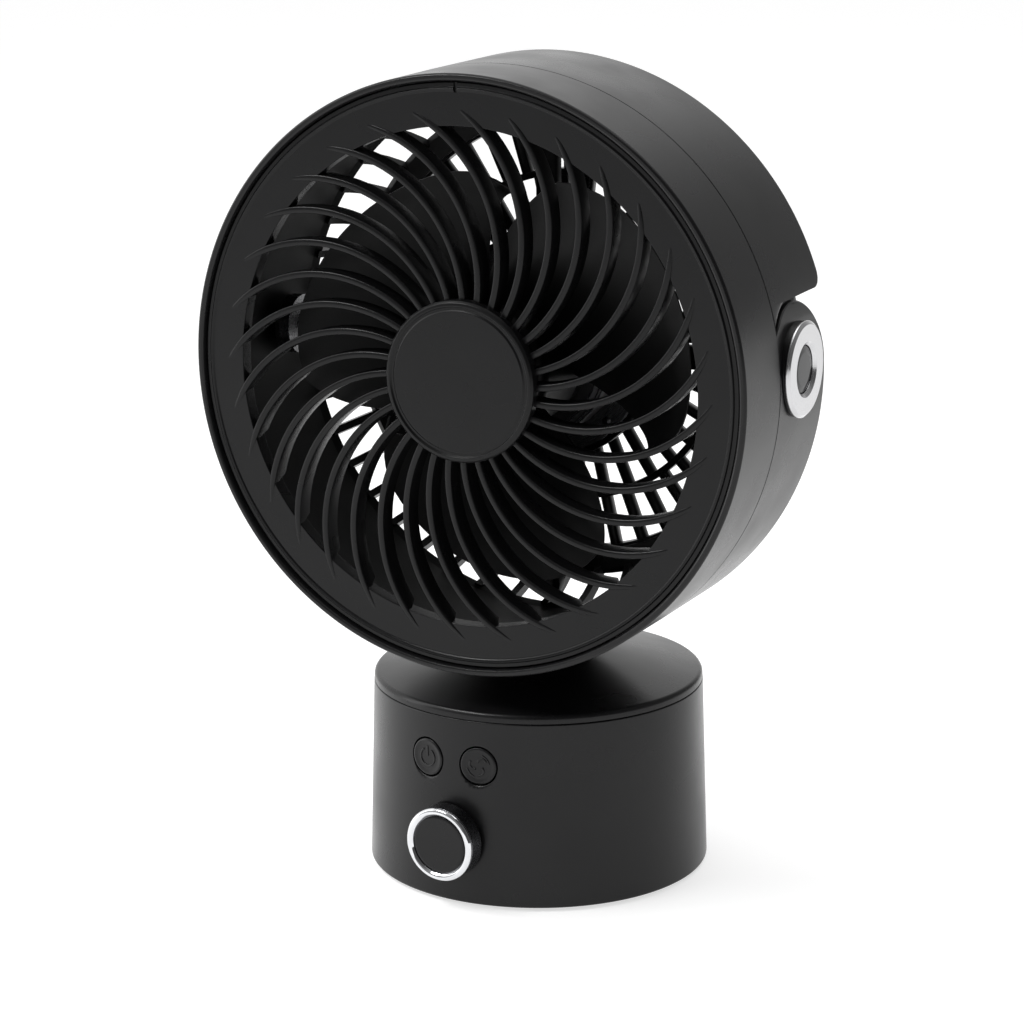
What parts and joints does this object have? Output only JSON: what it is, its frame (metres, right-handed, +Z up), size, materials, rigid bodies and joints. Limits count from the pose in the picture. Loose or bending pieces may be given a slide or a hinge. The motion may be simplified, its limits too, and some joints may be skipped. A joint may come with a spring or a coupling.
{
  "type": "desk fan",
  "caption": "Small round desk fan: drum base with two push buttons and a knob, U-shaped yoke, and a tilting round head with curved grille ribs and blades.",
  "frame": {"origin": "centre of the base's underside, on the surface the fan stands on", "axes": "+Z up; -Y the way the head blows at rest; +X to the right of someone facing the fan"},
  "size_m": [0.2066, 0.1283, 0.2843],
  "materials": {
    "housing_black": "satin",
    "inner_black": "matte",
    "gloss_black": "gloss",
    "chrome": "polished",
    "steel": "machined",
    "iron": "raw",
    "winding": "lacquered copper wire",
    "rubber": "matte",
    "circuit_board": "solder mask",
    "nylon": "satin"
  },
  "bodies": {
    "base": {"nonslip_pad": "rubber", "bottom_plate": "inner_black", "base_shell": "housing_black", "ballast_weight": "iron", "control_board": "circuit_board", "power_switch": "inner_black", "fan_switch": "inner_black", "dial_encoder": "inner_black", "power_inlet": "inner_black", "oscillation_motor": "steel", "turntable_bearing": "nylon", "bottom_screw_1": "steel", "bottom_screw_2": "steel", "bottom_screw_3": "steel", "bottom_screw_4": "steel"},
    "power_button": {"power_button": "housing_black"},
    "fan_button": {"fan_button": "housing_black"},
    "dial": {"dial_knob": "gloss_black", "dial_ring": "chrome", "dial_face": "housing_black", "dial_shaft": "steel"},
    "pinion": {"drive_pinion": "nylon"},
    "turntable": {"turntable_cover": "housing_black", "yoke": "housing_black", "yoke_spindle": "steel", "spindle_clip": "steel", "ring_gear": "nylon", "pivot_ring_right": "chrome", "pivot_plug_right": "gloss_black", "pivot_ring_left": "chrome", "pivot_plug_left": "gloss_black"},
    "head": {"front_shell": "housing_black", "front_grille": "housing_black", "hub_cap": "housing_black", "rear_shell": "housing_black", "rear_grille": "housing_black", "motor_bracket": "inner_black", "motor_front_cover": "steel", "motor_rear_cover": "steel", "stator": "winding", "front_bearing": "steel", "rear_bearing": "steel", "tilt_axle_right": "steel", "tilt_axle_left": "steel", "friction_washer_right": "rubber", "friction_washer_left": "rubber", "motor_screw_1": "steel", "motor_screw_2": "steel", "motor_screw_3": "steel", "motor_screw_4": "steel", "bracket_screw_1": "steel", "bracket_screw_2": "steel", "bracket_screw_3": "steel", "bracket_screw_4": "steel"},
    "rotor": {"impeller": "inner_black", "motor_shaft": "steel", "rotor_core": "iron", "spinner_nut": "inner_black"}
  },
  "joints": [
    {"name": "power_button_press", "type": "slide", "parent": "base", "child": "power_button", "axis": [0.2588, 0.9659, 0], "range_m": [0, 0.0012], "stiffness_N_per_m": 400},
    {"name": "fan_button_press", "type": "slide", "parent": "base", "child": "fan_button", "axis": [-0.0872, 0.9962, 0], "range_m": [0, 0.0012], "stiffness_N_per_m": 400},
    {"name": "dial_turn", "type": "hinge", "parent": "base", "child": "dial", "pos_m": [0, 0, 0.0234], "axis": [0.0872, 0.9962, 0], "range_deg": [0, 270]},
    {"name": "swing", "type": "hinge", "parent": "base", "child": "turntable", "pos_m": [0, 0, 0], "axis": [0, 0, 1], "range_deg": [-45, 35]},
    {"name": "pinion_turn", "type": "hinge", "parent": "base", "child": "pinion", "pos_m": [0, 0.0323, 0], "axis": [0, 0, 1], "range_deg": [-105, 135]},
    {"name": "tilt", "type": "hinge", "parent": "turntable", "child": "head", "pos_m": [0, -0.0114, 0.1871], "axis": [-1, 0, 0], "range_deg": [0, 90]},
    {"name": "blade_spin", "type": "hinge", "parent": "head", "child": "rotor", "pos_m": [0, 0, 0.1831], "axis": [0, -1, 0], "continuous": true}
  ],
  "couplings": [
    {"joint": "pinion_turn", "follows": "swing", "ratio": -3}
  ]
}
